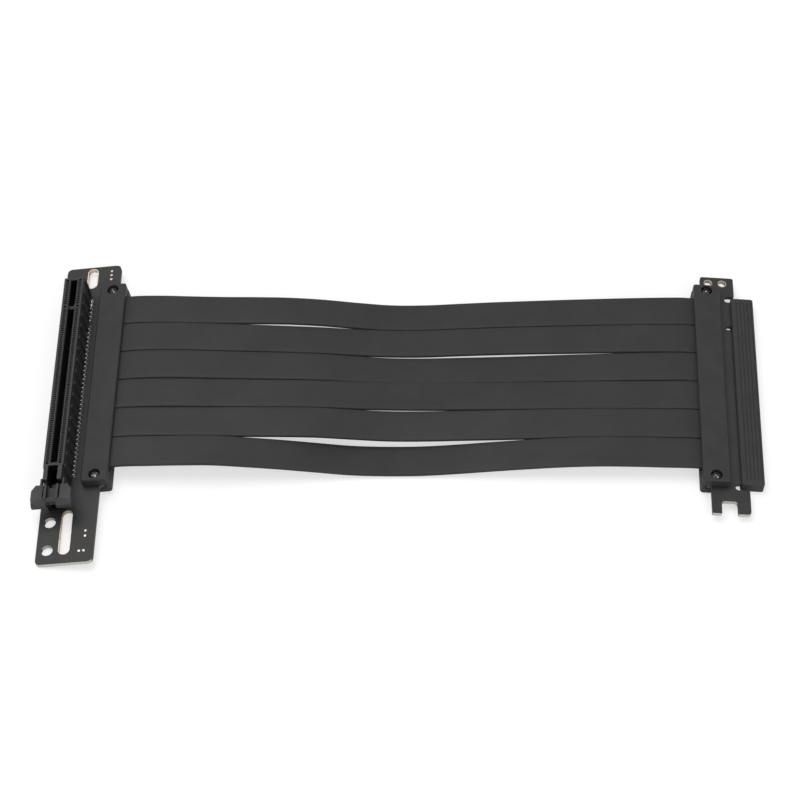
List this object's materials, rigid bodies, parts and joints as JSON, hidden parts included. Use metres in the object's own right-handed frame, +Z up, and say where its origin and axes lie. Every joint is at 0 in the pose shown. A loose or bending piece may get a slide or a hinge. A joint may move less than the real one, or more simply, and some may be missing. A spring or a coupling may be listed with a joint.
{
  "type": "gpu riser cable",
  "caption": "Flexible riser cable: card slot with retention latch on a small board, flat ribbons clamped at both ends, and an edge plug under a ribbed dust cap.",
  "frame": {"origin": "on the floor, under the middle of the rigid parts", "axes": "+X from the card slot to the plug, +Y from the latch end to the keyed end, +Z up out of the card slot"},
  "size_m": [0.2659, 0.137, 0.0144],
  "materials": {
    "board": "satin black solder mask over laminate, pale at the cut edges",
    "slot_plastic": "moulded black, semi-matte",
    "latch_plastic": "moulded dark grey, semi-matte",
    "cover_plastic": "fine spark-eroded charcoal",
    "cap_plastic": "soft moulded charcoal",
    "ribbon_jacket": "matte charcoal jacket",
    "tinned_wire": "tinned copper, soldered",
    "screw_steel": "black oxide, worn bright in the cross",
    "gold_plating": "thin gold plating",
    "solder": "bright solder"
  },
  "bodies": {
    "root": {"socket_board": "board", "plug_board": "board", "slot_housing": "slot_plastic", "socket_top_cover": "cover_plastic", "socket_bottom_cover": "cover_plastic", "socket_screw_far": "screw_steel", "socket_screw_near": "screw_steel", "plug_top_cover": "cover_plastic", "plug_bottom_cover": "cover_plastic", "plug_screw_far": "screw_steel", "plug_screw_near": "screw_steel", "socket_wire_ends_1": "tinned_wire", "socket_wire_ends_2": "tinned_wire", "socket_wire_ends_3": "tinned_wire", "socket_wire_ends_4": "tinned_wire", "socket_wire_ends_5": "tinned_wire", "socket_wire_ends_6": "tinned_wire", "plug_wire_ends_1": "tinned_wire", "plug_wire_ends_2": "tinned_wire", "plug_wire_ends_3": "tinned_wire", "plug_wire_ends_4": "tinned_wire", "plug_wire_ends_5": "tinned_wire", "plug_wire_ends_6": "tinned_wire", "ribbon_1": "ribbon_jacket", "ribbon_2": "ribbon_jacket", "ribbon_3": "ribbon_jacket", "ribbon_4": "ribbon_jacket", "ribbon_5": "ribbon_jacket", "ribbon_6": "ribbon_jacket"},
    "latch": {"slot_latch": "latch_plastic"},
    "cap": {"plug_dust_cap": "cap_plastic"}
  },
  "joints": [
    {"name": "latch_hinge", "type": "hinge", "parent": "root", "child": "latch", "pos_m": [-0.12431, -0.04185, 0.00602], "axis": [0.9862, 0, 0.1655], "range_deg": [0, 25]},
    {"name": "cap_slide", "type": "slide", "parent": "root", "child": "cap", "axis": [0.9976, 0, -0.0691], "range_m": [0, 0.009]}
  ]
}
